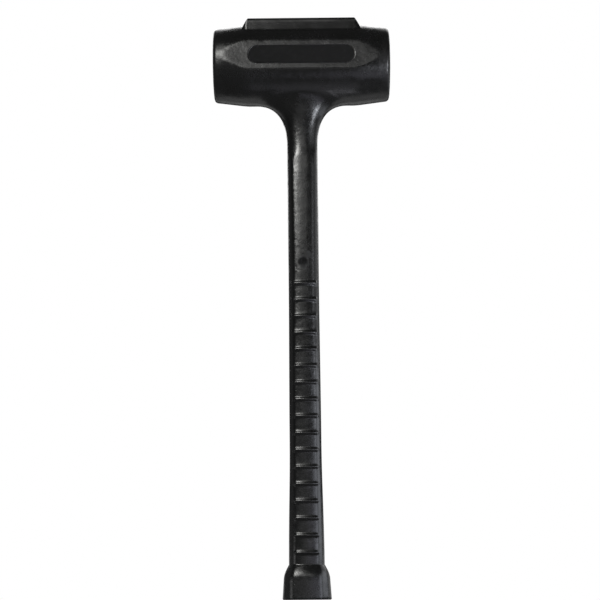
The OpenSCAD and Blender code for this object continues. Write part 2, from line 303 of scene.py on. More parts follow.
def butt_share(z):
    """Share of the butt's flare at a height: a quarter of a sine wave, and a slope below it."""
    down = np.maximum(BUTT_H - z, 0)
    steep = np.sin(np.pi / 2 * np.clip(down / BUTT_STEEP, 0, 1))
    return STEEP_SHARE * steep + (1 - STEEP_SHARE) * down / BUTT_H


def half_width(z):
    """Half width of the handle at a height, eased from butt to swell, grip, waist and shank."""
    flare = mix(SWELL_HALF_W, BUTT_HALF_W, butt_share(z))
    grip = mix(SWELL_HALF_W, GRIP_HALF_W, ease((z - BUTT_H) / (SWELL_TOP - BUTT_H)))
    grip = mix(grip, WAIST_HALF_W, ease((z - SWELL_TOP) / (WAIST_Z - SWELL_TOP)))
    grip = mix(grip, SHANK_HALF_W, ease((z - WAIST_Z) / (NECK_Z - WAIST_Z)))
    return np.where(z < BUTT_H, flare, grip)


def half_thickness(z):
    """Half thickness of the handle at a height."""
    flare = mix(SWELL_HALF_T, BUTT_HALF_T, butt_share(z))
    grip = mix(SWELL_HALF_T, SHANK_HALF_T, ease((z - BUTT_H) / (SWELL_TOP - BUTT_H)))
    return np.where(z < BUTT_H, flare, grip)


def rib_depth(x, z, flat):
    """Distance of the ribs' surface from the middle plane, or 0 between the ribs.

    Across its height each rib is one whole wave of a cosine. Its ends drop along a quarter
    circle of the radius RIB_END, below the round edge of the grip."""
    number = np.clip(np.round((z - RIB_FIRST_Z) / RIB_PITCH), 0, RIBS - 1)
    away = np.abs(z - RIB_FIRST_Z - number * RIB_PITCH)
    ridge = RIB_RISE * (1 - ease(away / RIB_HALF_H))
    end = np.clip((np.abs(x) - RIB_HALF_LEN + RIB_END) / RIB_END, 0, 1)
    drop = RIB_END * (1 - np.sqrt(1 - end ** 2))
    return np.where((away < RIB_HALF_H) & (np.abs(x) < RIB_HALF_LEN), flat + ridge - drop, 0)


def handle_ring(z):
    """Points round the handle at the heights z, which is a column.

    The flat is a parabola across the handle, and the smaller of circle and flat counts. The
    crease between them gets softer over the last NECK_FADE below the neck. The ribs are added
    as the larger surface, and the pin's mark is taken off."""
    w, t = half_width(z), half_thickness(z)
    flat_half = np.sqrt(w ** 2 - t ** 2)
    soft = mix(CREASE_SOFT, NECK_SOFT, ease((z - NECK_Z) / NECK_FADE + 1))
    x = w * np.cos(ring_angle)
    flat = t + FLAT_CROWN * (0.5 - (x / flat_half) ** 2)
    ribs = rib_depth(x, z, np.maximum(flat, t - FLAT_CROWN))
    y = soft_max(soft_min(w * np.abs(np.sin(ring_angle)), flat, soft), ribs, RIB_SOFT)
    mark = np.clip(1 - np.hypot(x, z - MARK_Z) / MARK_R, 0, 1)
    y = y - MARK_DEPTH * ease(mark * MARK_EDGE)
    return np.stack([x, y * ring_side, z + 0 * x], -1)


print(f"waist {2 * half_width(WAIST_Z):.1f} mm wide, butt end {2 * half_width(0.0):.1f} mm wide")

# %% [markdown]
# ## The neck
#
# Under the head the shank spreads into the barrel like the foot of a tree. It could be a
# metaball or a bridge of faces, but then its edge wouldn't lie on the barrel. Here each
# column of the handle runs on as a bent line with three control points: the first is where
# the shank stops, the last lies on the barrel, and the middle one is chosen so that the
# line touches the barrel at a tangent. At the front and the back the middle one also stands
# out a little, as on the real neck, and that bulge catches the light as one long streak.

# %% Rings of the neck
# The square gap that the head's grid leaves here reaches so far along the head and round it.
GAP_X, GAP_TURN = 54.0, np.radians(45)
NECK_RINGS = 27
SKIRT_SHARES = np.array([[0.92], [0.62], [0.3]])


def neck_rings(share):
    """Points of the neck for shares of the way up, which is a column.

    Each column is a quadratic Bezier curve: the first point times (1 - t) squared, the middle
    one times 2 t (1 - t) and the last one times t squared."""
    start = handle_ring(np.array([[NECK_Z]]))
    x0, y0 = start[..., 0], start[..., 1]
    x2 = x0 * (SHANK_HALF_W + NECK_REACH) / SHANK_HALF_W
    y2 = (y0 / SHANK_HALF_T * BARREL_R * (SHANK_HALF_T + NECK_REACH)
          / (BARREL_R + NECK_REACH))
    z2 = np.sqrt(BARREL_R ** 2 - y2 ** 2)
    z1 = (BARREL_R ** 2 - y0 * y2) / z2
    p0 = np.stack([x0, y0, 0 * x0 + NECK_Z], -1)
    p1 = np.stack([x0, y0 * (1 + NECK_LEAN / SHANK_HALF_T), AXIS_Z - z1], -1)
    p2 = np.stack([x2, y2, AXIS_Z - z2], -1)
    t = share[..., None]
    return p0 * (1 - t) ** 2 + 2 * p1 * t * (1 - t) + p2 * t ** 2


def skirt_rings(share):
    """Rings on the barrel that grow from the neck's edge towards the square gap in the head.

    The edge is written as a distance along the head and a turn round it, and stretched
    outwards by a share of the way to the square."""
    edge = neck_rings(np.array([[1.0]]))
    along = edge[..., 0] / GAP_X
    turn = np.arcsin(edge[..., 1] / BARREL_R) / GAP_TURN
    grow = mix(1, 1 / np.maximum(np.abs(along), np.abs(turn)), share)
    along, turn = along * grow * GAP_X, turn * grow * GAP_TURN
    return np.stack([along, BARREL_R * np.sin(turn), AXIS_Z - BARREL_R * np.cos(turn)], -1)


print(f"neck ends {neck_rings(np.array([[1.0]]))[..., 0].max():.1f} mm from the middle of the head")

# %% [markdown]
# ## The rings from top to bottom
#
# On the mould each rib is a groove of its own, and the butt's lower edge is broken by a small
# radius. One even spacing of rings would step over both. So each rib gets thirteen rings
# across its wave and three in the gap above it, the butt's edge is a quarter circle of five,
# and three smaller rings and one point close the flat end.

# %% Heights of the handle's rings
ACROSS_RIB = [-3.3, -2.8, -2.3, -1.7, -1.1, -0.5, 0, 0.5, 1.1, 1.7, 2.3, 2.8, 3.3]
ABOVE_RIB = [5.5, 8.1, 10.7]
BEVEL_RINGS = 5
END_SHARES = [0.9, 0.6, 0.25]

rib_steps = np.array(ACROSS_RIB + ABOVE_RIB)
rib_z = RIB_FIRST_Z + RIB_PITCH * np.arange(RIBS)[:, None] + rib_steps[None, :]
rib_z = np.sort(rib_z.ravel())[:-len(ABOVE_RIB)]
butt_z = grid_lines((BUTT_BEVEL, 1.6), (BUTT_H - 2, 0.5), (BUTT_H + 2, 1.6), (RIB_FIRST_Z - 3.6, 0))
shank_z = grid_lines((rib_z[-1] + 3, 3.4), (MARK_Z - MARK_R, 0.5), (MARK_Z + MARK_R, 3.6),
                     (NECK_Z, 0))
handle_z = np.concatenate([butt_z, rib_z, shank_z])[::-1, None]

bevel = np.radians(np.linspace(18, 90, BEVEL_RINGS))[:, None]
foot = handle_ring(np.full((BEVEL_RINGS, 1), BUTT_BEVEL))
inset = 1 - BUTT_BEVEL * (1 - np.cos(bevel)) / BUTT_HALF_W
foot[..., :2] *= inset[..., None]
foot[..., 2] = BUTT_BEVEL * (1 - np.sin(bevel))
end_rings = foot[-1:] * np.array([[[share, share, 0]] for share in END_SHARES])

handle_grid = np.concatenate([
    skirt_rings(SKIRT_SHARES),
    neck_rings(np.linspace(1, 0, NECK_RINGS)[:-1, None]),
    handle_ring(handle_z),
    foot,
    end_rings,
])
print("handle grid:", handle_grid.shape[0], "rings of", handle_grid.shape[1])

# %% [markdown]
# ## Joining the grids
#
# The head's grid has a square gap under it, and the handle's first ring lies inside that gap.
# The two have different numbers of points, so a strip of triangles joins them: both sides
# are walked round by their angle, and each step takes the next point of whichever side is
# behind. All points of the gap and of the ring lie on the barrel, so the strip is part of it.

# %% Faces of the casting


def grid_faces(index, closed):
    """Four-sided faces between neighbours in an array of point numbers."""
    across = np.concatenate([index, index[:, :1]], 1) if closed else index
    quads = [across[:-1, :-1], across[:-1, 1:], across[1:, 1:], across[1:, :-1]]
    return np.stack(quads, -1).reshape(-1, 4)


def fan_faces(ring, pole):
    """Triangles that close a ring with one point in its middle."""
    return np.stack([ring, np.roll(ring, -1), np.full(len(ring), pole)], -1)


def strip_faces(outer, inner, outer_at, inner_at):
    """Triangles between two closed rings, walked round in the order of their angles.

    All points of both are put in one order. Each one makes a triangle with the point before
    it on its own ring and the last point passed on the other ring."""
    outer, outer_at = outer[np.argsort(outer_at)], np.sort(outer_at)
    inner, inner_at = inner[np.argsort(inner_at)], np.sort(inner_at)
    at = np.concatenate([outer_at, inner_at])
    from_outer = np.concatenate([np.ones(len(outer), bool), np.zeros(len(inner), bool)])
    from_outer = from_outer[np.argsort(at, kind="stable")]
    a = np.cumsum(from_outer)
    b = np.cumsum(~from_outer)
    here_a, here_b = outer[(a - 1) % len(outer)], inner[(b - 1) % len(inner)]
    last_a = outer[(a - 1 - from_outer) % len(outer)]
    last_b = inner[(b - 1 - ~from_outer) % len(inner)]
    third = np.where(from_outer, here_a, here_b)
    return np.stack([last_a, last_b, third], -1)


rows, cols = head_grid.shape[:2]
head_count, handle_count = rows * cols, handle_grid.shape[0] * COLUMNS
head_index = np.arange(head_count).reshape(rows, cols)
ring_index = head_count + np.arange(handle_count).reshape(-1, COLUMNS)
poles = head_count + handle_count + np.arange(3)
print("points:", head_count, "on the head,", handle_count, "on the handle")

# %% [markdown]
# ## The square gap
#
# Where the neck grows out of the barrel the head's own skin has to be open, or a hidden wall
# would run through the casting. A boolean union would cut it, and leave thin slivers round
# the neck. Here the faces of one square patch below the head are simply not used. It reaches
# GAP_X to each side along the head, and GAP_TURN to each side of straight down round it.

# %% Faces round the gap
under = np.angle(np.exp(1j * (turns + np.pi / 2)))
column_middle = np.angle(np.exp(1j * under) + np.exp(1j * np.roll(under, -1)))
row_middle = (outline[:-1, 0] + outline[1:, 0]) / 2
in_gap = (np.abs(row_middle) < GAP_X)[:, None] & (np.abs(column_middle) < GAP_TURN)[None, :]
head_quads = grid_faces(head_index, True)[~in_gap.ravel()]

gap_rows = np.flatnonzero(np.abs(outline[:, 0]) < GAP_X + 0.01)
gap_columns = np.flatnonzero(np.abs(under) < GAP_TURN + 0.001)
gap_columns = gap_columns[np.argsort(under[gap_columns])]
gap = head_index[np.ix_(gap_rows, gap_columns)]
gap_edge = np.unique(np.concatenate([gap[0], gap[-1], gap[:, 0], gap[:, -1]]))

row, column = np.divmod(gap_edge, cols)
gap_at = np.arctan2(-under[column] / GAP_TURN, outline[row, 0] / GAP_X)
first = handle_grid[0]
ring_at = np.arctan2(np.arcsin(first[:, 1] / BARREL_R) / GAP_TURN, first[:, 0] / GAP_X)
strip = strip_faces(gap_edge, ring_index[0], gap_at, ring_at)
print("square gap:", len(gap_edge), "points, joined to", COLUMNS)

# %% [markdown]
# ## From arrays to a mesh
#
# Blender takes a mesh fastest as flat arrays: the points, the corners of the faces, and where
# each face starts. from_pydata is shorter to write, but it is slow with this many faces.

# %% Meshes from arrays


def make_piece(name, points, face_groups, body):
    """Makes a smooth closed mesh from points in millimetres and arrays of faces.

    Points that no face uses are left out, and the others get new numbers."""
    used = np.unique(np.concatenate([f.ravel() for f in face_groups]))
    renumber = np.full(len(points), -1)
    renumber[used] = np.arange(len(used))
    corners = np.concatenate([renumber[f].ravel() for f in face_groups])
    sizes = np.concatenate([np.full(len(f), f.shape[1]) for f in face_groups])
    starts = np.concatenate([[0], np.cumsum(sizes)[:-1]])
    mesh = bpy.data.meshes.new(name)
    mesh.vertices.add(len(used))
    mesh.vertices.foreach_set("co", (points[used] * MM).astype(np.float32).ravel())
    mesh.loops.add(len(corners))
    mesh.loops.foreach_set("vertex_index", corners.astype(np.int32))
    mesh.polygons.add(len(sizes))
    mesh.polygons.foreach_set("loop_start", starts.astype(np.int32))
    mesh.update(calc_edges=True)
    mesh.validate()
    mesh.shade_smooth()
    piece = bpy.data.objects.new(name, mesh)
    bpy.context.scene.collection.objects.link(piece)
    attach(piece, body)
    return piece


def turn_outwards(piece):
    """Points every face of a closed mesh outwards, and counts its open edges."""
    work = bmesh.new()
    work.from_mesh(piece.data)
    bmesh.ops.recalc_face_normals(work, faces=work.faces)
    open_edges = sum(1 for edge in work.edges if not edge.is_manifold)
    work.to_mesh(piece.data)
    work.free()
    return open_edges


# %% The cast jacket
all_points = np.concatenate([
    head_grid.reshape(-1, 3),
    handle_grid.reshape(-1, 3),
    [[-HEAD_HALF, 0, AXIS_Z], [HEAD_HALF, 0, AXIS_Z], [0, 0, 0]],
])
jacket = make_piece(
    "cast_urethane_jacket",
    all_points,
    [
        head_quads,
        grid_faces(ring_index, True),
        strip,
        fan_faces(head_index[0], poles[0]),
        fan_faces(head_index[-1], poles[1]),
        fan_faces(ring_index[-1], poles[2]),
    ],
    "hammer",
)
open_edges = turn_outwards(jacket)
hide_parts("urethane_jacket")
jacket.data.calc_loop_triangles()
print("jacket:", len(jacket.data.loop_triangles), "triangles, open edges:", open_edges)

# %% [markdown]
# ## Where the skin is worn
#
# Hands and blows polish the raised edges of a hammer, and dust stays in its corners. Painting
# that by hand would tie it to one picture. Here each point measures how its skin bends: the
# neighbours of a point on an edge lie below its tangent plane, and those of a point in a
# corner lie above it. The two measures are kept as attributes that the material reads.

# %% Bend of the skin
EDGE_BEND, HOLLOW_BEND, BEND_START = 0.25, 0.2, 0.2
SMOOTHINGS = 2
MIN_LENGTH_2 = 1e-4


def vertex_vectors(mesh, name):
    """A vector of each vertex, such as co or normal, as an array with a row for each."""
    flat = np.empty(len(mesh.vertices) * 3)
    mesh.vertices.foreach_get(name, flat)
    return flat.reshape(-1, 3)


def keep_attribute(mesh, name, value):
    """Keeps a number from 0 to 1 at each vertex, where a material can read it."""
    layer = mesh.attributes.new(name, "FLOAT", "POINT")
    layer.data.foreach_set("value", np.clip(value, 0, 1).astype(np.float32))


def mark_bends(mesh):
    """Writes the attributes edge and hollow, from 0 to 1, from the bend at each point.

    The bend is the mean, over a point's edges, of how far the neighbour lies below the
    tangent plane divided by the squared length of the edge, in 1/mm. It is then averaged
    SMOOTHINGS times with the mean of the neighbours."""
    count = len(mesh.vertices)
    co = vertex_vectors(mesh, "co") / MM
    normal = vertex_vectors(mesh, "normal")
    pair = np.empty(len(mesh.edges) * 2, int)
    mesh.edges.foreach_get("vertices", pair)
    a, b = pair.reshape(-1, 2).T
    step = co[b] - co[a]
    length = np.maximum((step ** 2).sum(1), MIN_LENGTH_2)
    at_a = -(normal[a] * step).sum(1) / length
    at_b = (normal[b] * step).sum(1) / length
    degree = np.bincount(a, minlength=count) + np.bincount(b, minlength=count)
    bend = (np.bincount(a, at_a, count) + np.bincount(b, at_b, count)) / degree
    for _ in range(SMOOTHINGS):
        near = np.bincount(a, bend[b], count) + np.bincount(b, bend[a], count)
        bend = mix(bend, near / degree, 0.5)
    keep_attribute(mesh, "edge", bend / EDGE_BEND - BEND_START)
    keep_attribute(mesh, "hollow", -bend / HOLLOW_BEND - BEND_START)
    print("bend of the skin from", bend.min().round(2), "to", bend.max().round(2), "per mm")


mark_bends(jacket.data)

# %% [markdown]
# ## Where the skin is matt, calm or painted darker
#
# Not all of the skin comes off the same face of the mould. The pocket's floor is blasted, so
# it comes out matt, and its colour is painted darker as well: painted shade of the recess. The
# pad's walls are trimmed flat and show little mottle, and its top is cut level after the pour
# and stays dull. Round the pin's mark two spots are made dull and painted darker, as painted
# shade of the mark's hollow. Separate materials would meet in hard lines, so two more
# attributes fade them in.

# %% Matt, trimmed and painted-shade places
FLOOR_SLACK = 0.5
POURED_MATT, POURED_FADE = 0.6, 0.5
TRIMMED_FROM, TRIMMED_FADE = 20, 3
SPOT_FADE = 3
# Spots of painted shade round the pin's mark, on the front of the handle only. They also make the skin
# dull there.
PIN_SHADE_SPOTS = (
    # across and above the pin's mark, radius, strength
    (-0.5, -1.8, 6.4, 1.0),
    (4.0, 5.0, 4.2, 0.6),
)


def mark_matt_and_shade(mesh):
    """Writes the attributes trimmed, for the pad's walls, and matt_and_shade.

    Matt_and_shade is 1 on the floor of each pocket and at the spots of painted shade round the
    pin's mark, and POURED_MATT on the pad's top. It makes the skin matt and paints its colour
    darker, which in the pocket and at the spots is painted shade. Each spot fades out over
    SPOT_FADE inside its radius. A point is on the pad where it is farther from the axis than the
    barrel, and it fades out before the pad's ends."""
    x, y, z = vertex_vectors(mesh, "co").T / MM
    above_axis = z - AXIS_Z
    floor = pocket_share(x, above_axis) * (np.abs(y) > LAND_Y - POCKET_DEPTH - FLOOR_SLACK)
    poured = ease((above_axis - PAD_TOP) / POURED_FADE + 1)
    on_pad = ease(np.hypot(y, above_axis) - BARREL_R) * (above_axis > TRIMMED_FROM)
    on_pad = on_pad * ease((PAD_HALF_LEN - np.abs(x)) / TRIMMED_FADE)
    # Painted shade round the pin's mark: dark, dull spots on the front only.
    pin_shade = sum(strength * ease((radius - np.hypot(x - across, z - MARK_Z - above)) / SPOT_FADE)
              for across, above, radius, strength in PIN_SHADE_SPOTS)
    pin_shade = np.clip(pin_shade, 0, 1) * (y < 0)
    keep_attribute(mesh, "trimmed", on_pad)
    # This attribute makes the skin matt, and the darker colour it brings is painted shade in the
    # pockets and round the pin's mark.
    keep_attribute(mesh, "matt_and_shade", floor + pin_shade + POURED_MATT * poured)
    print("matt points:", int((floor + pin_shade + poured > 0.5).sum()), "of", len(x))


mark_matt_and_shade(jacket.data)

# %% [markdown]
# ## Finishes
#
# A finish is built from a few wires: object coordinates feed noises of several sizes, and
# these steer colour, roughness and bump. Image textures could do it too, but noise has no
# edge and no fixed sharpness, and it follows the real size of the piece in metres.

# %% Helpers for finishes
# The Mix node keeps its colours at these places among its inputs and outputs.
COLOUR_A, COLOUR_B, COLOUR_OUT = 6, 7, 2


def new_finish(name):
    """A material with its node tree, its surface shader and its object coordinates."""
    material = bpy.data.materials.new(name)
    material.use_nodes = True
    tree = material.node_tree
    shader = tree.nodes["Principled BSDF"]
    coords = tree.nodes.new("ShaderNodeTexCoord").outputs["Object"]
    return material, tree, shader, coords


def stretched(tree, coords, scale):
    """Coordinates multiplied along X, Y and Z."""
    node = tree.nodes.new("ShaderNodeMapping")
    node.inputs["Scale"].default_value = scale
    tree.links.new(coords, node.inputs["Vector"])
    return node.outputs["Vector"]


def noise(tree, coords, size_mm, detail=3.0, rough=0.5):
    """Noise from 0 to 1 whose largest lumps are about size_mm across, on coordinates in metres."""
    node = tree.nodes.new("ShaderNodeTexNoise")
    node.inputs["Scale"].default_value = 1000 / size_mm
    node.inputs["Detail"].default_value = detail
    node.inputs["Roughness"].default_value = rough
    tree.links.new(coords, node.inputs["Vector"])
    return node.outputs["Fac"]


def spread(tree, value, low, high, to_low=0.0, to_high=1.0):
    """Maps low..high of a value to another range, and clips it there."""
    node = tree.nodes.new("ShaderNodeMapRange")
    for name, number in (("From Min", low), ("From Max", high),
                         ("To Min", to_low), ("To Max", to_high)):
        node.inputs[name].default_value = number
    tree.links.new(value, node.inputs["Value"])
    return node.outputs["Result"]


def combine(tree, operation, a, b):
    """One arithmetic step between two values, each a wire or a number."""
    node = tree.nodes.new("ShaderNodeMath")
    node.operation = operation
    for socket, value in zip(node.inputs, (a, b)):
        if isinstance(value, (int, float)):
            socket.default_value = value
        else:
            tree.links.new(value, socket)
    return node.outputs["Value"]


def blend_colours(tree, share, first, second):
    """Colour between two others, each a wire or an RGB triple."""
    node = tree.nodes.new("ShaderNodeMix")
    node.data_type = "RGBA"
    tree.links.new(share, node.inputs["Factor"])
    for socket, value in zip((node.inputs[COLOUR_A], node.inputs[COLOUR_B]), (first, second)):
        if isinstance(value, tuple):
            socket.default_value = (*value, 1)
        else:
            tree.links.new(value, socket)
    return node.outputs[COLOUR_OUT]


def bump(tree, height, depth_mm, below=None):
    """Bump whose height from 0 to 1 stands for depth_mm, on top of another bump."""
    node = tree.nodes.new("ShaderNodeBump")
    node.inputs["Strength"].default_value = 1.0
    node.inputs["Distance"].default_value = depth_mm * MM
    tree.links.new(height, node.inputs["Height"])
    if below is not None:
        tree.links.new(below, node.inputs["Normal"])
    return node.outputs["Normal"]


def attribute(tree, name):
    """A number kept at each point of the mesh."""
    node = tree.nodes.new("ShaderNodeAttribute")
    node.attribute_name = name
    return node.outputs["Fac"]


# %% [markdown]
# ## Black cast urethane
#
# The real skin is black and half glossy. It is not smooth: the mould's own surface leaves
# shallow waves a finger wide, a mottle of a few millimetres, a fine grain and some pits where
# air was caught. The waves break up the long highlights, and the mottle makes them speckled.
# One flat black with one roughness would look like a render of plastic, so each of these has
# a noise of its own size, and wear, dust, the matt places and the painted shade in the pocket
# and round the pin's mark are laid over them.

# %% Colours and weights of the jacket's finish
DEEP_BLACK, WARM_BLACK = (0.0035, 0.0036, 0.0033), (0.006, 0.006, 0.0063)
# The darkest black is painted shade on the pocket's floor and round the pin's mark, and a slightly
# darker tone on the dull top of the pad.
WORN_GREY, DUST, MATT_AND_SHADE_BLACK = (0.021, 0.021, 0.022), (0.017, 0.016, 0.014), (0.002, 0.002, 0.002)
DUST_SHARE = 0.15
SKIN_SHEEN = 0.42

# Sizes and depths of the unevenness, in millimetres, and how much of it trimming takes off.
PATCH_MM, MOTTLE_MM, GRAIN_MM, WAVE_MM, PIT_MM = 38, 5, 0.9, 17, 4.2
WAVE_DEPTH, MOTTLE_DEPTH, GRAIN_DEPTH, PIT_DEPTH = 0.4, 0.17, 0.012, 0.05
TRIMMED_CALM = 0.75

# The part of each noise that is used, and for the wear also what it becomes.
PATCH_RANGE, MOTTLE_RANGE, PIT_RANGE = (0.35, 0.7), (0.3, 0.7), (0.03, 0.11)
WEAR_RANGE = (0.4, 0.65, 0.2, 1.0)

# Roughness of the plain skin, and what each measure adds. The ends are scuffed from
# SCUFF_FROM to SCUFF_FULL metres along the head.
PLAIN_ROUGH, MOTTLE_ROUGH = 0.22, 0.05
ROUGHER = {"patches": 0.06, "worn": -0.05, "hollow": 0.04, "matt_and_shade": 0.75, "scuffed": 0.09}
SCUFF_FROM, SCUFF_FULL = 0.074, 0.082
print("roughness of the plain skin:", PLAIN_ROUGH, "and more by", ROUGHER)

# %% Finish of the jacket


def urethane_finish():
    """Black urethane, paler and smoother where worn, dusty in hollows, scuffed at the ends.

    Its roughness is PLAIN_ROUGH, plus or minus MOTTLE_ROUGH with the mottle, plus each
    measure times its weight in ROUGHER. The trimmed pad has less of the mottle."""
    material, tree, shader, coords = new_finish("black_cast_urethane")
    mottle = noise(tree, coords, MOTTLE_MM, 2, 0.55)
    edge = attribute(tree, "edge")
    place = tree.nodes.new("ShaderNodeSeparateXYZ")
    tree.links.new(coords, place.inputs[0])
    along_head = combine(tree, "ABSOLUTE", place.outputs[0], 0)
    measures = {
        "patches": spread(tree, noise(tree, coords, PATCH_MM, 4, 0.6), *PATCH_RANGE),
        "worn": combine(tree, "MULTIPLY", edge, spread(tree, mottle, *WEAR_RANGE)),
        "hollow": attribute(tree, "hollow"),
        "matt_and_shade": attribute(tree, "matt_and_shade"),
        "scuffed": spread(tree, along_head, SCUFF_FROM, SCUFF_FULL),
    }

    dusty = combine(tree, "MULTIPLY", measures["hollow"], DUST_SHARE)
    colour = blend_colours(tree, measures["patches"], DEEP_BLACK, WARM_BLACK)
    # The darkest black laid on last is painted shade where it lies on the pocket's floor and round the
    # pin's mark.
    for share, paint in ((measures["worn"], WORN_GREY), (dusty, DUST), (measures["matt_and_shade"], MATT_AND_SHADE_BLACK)):
        colour = blend_colours(tree, share, colour, paint)
    tree.links.new(colour, shader.inputs["Base Color"])

    trimmed = combine(tree, "MULTIPLY", attribute(tree, "trimmed"), TRIMMED_CALM)
    mottled = combine(tree, "SUBTRACT", 1.0, trimmed)
    uneven = spread(tree, mottle, *MOTTLE_RANGE, -MOTTLE_ROUGH, MOTTLE_ROUGH)
    rough = combine(tree, "ADD", combine(tree, "MULTIPLY", uneven, mottled), PLAIN_ROUGH)
    for name, weight in ROUGHER.items():
        rough = combine(tree, "ADD", rough, combine(tree, "MULTIPLY", measures[name], weight))
    tree.links.new(rough, shader.inputs["Roughness"])

    pits = tree.nodes.new("ShaderNodeTexVoronoi")
    pits.inputs["Scale"].default_value = 1000 / PIT_MM
    tree.links.new(coords, pits.inputs["Vector"])
    pit = spread(tree, pits.outputs["Distance"], *PIT_RANGE)
    lumps = combine(tree, "MULTIPLY", combine(tree, "SUBTRACT", mottle, 0.5), mottled)
    normal = bump(tree, noise(tree, coords, WAVE_MM, 2, 0.4), WAVE_DEPTH)
    for height, depth in ((lumps, MOTTLE_DEPTH), (noise(tree, coords, GRAIN_MM, 2), GRAIN_DEPTH),
                          (pit, PIT_DEPTH)):
        normal = bump(tree, height, depth, normal)
    tree.links.new(normal, shader.inputs["Normal"])
    shader.inputs["Specular IOR Level"].default_value = SKIN_SHEEN
    return material


jacket.data.materials.append(urethane_finish())
print("finish of the jacket:", jacket.data.materials[0].name)

# %% [markdown]
# ## The steel inside
#
# The sealed parts keep the shape of their CAD nodes. They could all share one grey metal,
# since nothing of them shows from outside. Each steel still gets the trace of how it was
# made, so that each part looks right by itself: the tube has mill scale, the caps were turned
# on a lathe, the rod was drawn through a die, the shot is bright, and the welds are rippled.

# %% Finishes of the steel parts
STAIN, STAIN_SHARE, STAIN_MM = (0.06, 0.045, 0.035), 0.5, 14
STREAK_DARK, STREAK_LIGHT = 0.55, 1.2
STREAK_SMOOTH, STREAK_ROUGH = -0.08, 0.14


def steel_finish(name, colour, rough, streak_mm, ripple_mm, depth_mm):
    """Steel with streaks whose size along X, Y and Z is streak_mm, and a bump.

    The streaks mix STREAK_DARK and STREAK_LIGHT times the colour, and change the roughness.
    Brown stains STAIN_MM across lie over them."""
    material, tree, shader, coords = new_finish(name)
    along = stretched(tree, coords, tuple(1 / size for size in streak_mm))
    streaks = noise(tree, along, 1, 3, 0.6)
    stains = spread(tree, noise(tree, coords, STAIN_MM, 4, 0.6), 0.45, 0.75)
    darker = tuple(STREAK_DARK * c for c in colour)
    lighter = tuple(min(1.0, STREAK_LIGHT * c) for c in colour)
    shade = blend_colours(tree, spread(tree, streaks, 0.3, 0.7), darker, lighter)
    shade = blend_colours(tree, combine(tree, "MULTIPLY", stains, STAIN_SHARE), shade, STAIN)
    tree.links.new(shade, shader.inputs["Base Color"])
    uneven = spread(tree, streaks, 0.2, 0.8, rough + STREAK_SMOOTH, rough + STREAK_ROUGH)
    tree.links.new(uneven, shader.inputs["Roughness"])
    shader.inputs["Metallic"].default_value = 1.0
    fine = noise(tree, along, ripple_mm, 2)
    tree.links.new(bump(tree, fine, depth_mm), shader.inputs["Normal"])
    return material


STEEL_LOOKS = {
    # colour, roughness, streaks along X, Y and Z in mm, ripples in mm, their depth in mm
    "tube_mill_steel": ((0.36, 0.36, 0.37), 0.42, (30, 1.2, 1.2), 0.4, 0.02),
    "turned_cap_steel": ((0.42, 0.42, 0.43), 0.3, (0.5, 8, 8), 0.5, 0.02),
    "weld_bead": ((0.2, 0.19, 0.18), 0.5, (1.6, 1.6, 1.6), 0.8, 0.2),
    "bright_shot": ((0.5, 0.5, 0.51), 0.2, (3, 3, 3), 0.5, 0.01),
    "drawn_rod_steel": ((0.38, 0.38, 0.4), 0.33, (0.8, 0.8, 60), 0.4, 0.02),
}
STEEL_OF = {
    "canister_tube": "tube_mill_steel",
    "rod_socket": "tube_mill_steel",
    "left_end_cap": "turned_cap_steel",
    "right_end_cap": "turned_cap_steel",
    "anchor_washer": "turned_cap_steel",
    "left_cap_weld": "weld_bead",
    "right_cap_weld": "weld_bead",
    "socket_weld": "weld_bead",
    "shot_charge": "bright_shot",
    "socket_pin": "bright_shot",
    "core_rod": "drawn_rod_steel",
}
steels = {name: steel_finish(name, *look) for name, look in STEEL_LOOKS.items()}
for node, steel in STEEL_OF.items():
    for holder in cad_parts[node].material_slots:
        holder.material = steels[steel]
print("steel nodes with a finish:", len(STEEL_OF))

# %% [markdown]
# ## Floor and background
#
# The hammer stands before plain white. Turning the lamps up until the floor clips would wash
# out the black skin as well. Instead the floor is a matt sheet that glows for the camera only
# and keeps the shadow. It glows more with the distance, until it is as white as the world
# behind it, so that no line shows where it ends. Rays that the skin mirrors see the floor
# dim, but for a brighter band behind the hammer, which lights the lower rims of the head.

# %% Floor
FLOOR_HALF, FLOOR_ROUGH = 4.0, 0.9
FLOOR_GREY, FLOOR_PALE = (0.14, 0.14, 0.14), (0.34, 0.34, 0.34)
GLOW_FROM, GLOW_NEAR, GLOW_FAR = 1.0, 0.6, 0.98
BAND_RISE, BAND_FALL = (0.5, 1.0), (1.5, 2.2)
FLOOR_GLOSS, BAND_GLOSS, WORLD_GLOSS = 0.09, 0.6, 0.02


def shows_background(tree, gloss_share):
    """1 for rays that show the background: from the camera or through glass.

    Rays mirrored by the black skin get only gloss_share of it, or it would turn grey."""
    path = tree.nodes.new("ShaderNodeLightPath")
    seen = combine(tree, "MAXIMUM", path.outputs["Is Camera Ray"],
                   path.outputs["Is Transmission Ray"])
    gloss = combine(tree, "MULTIPLY", path.outputs["Is Glossy Ray"], gloss_share)
    return combine(tree, "MAXIMUM", seen, gloss)


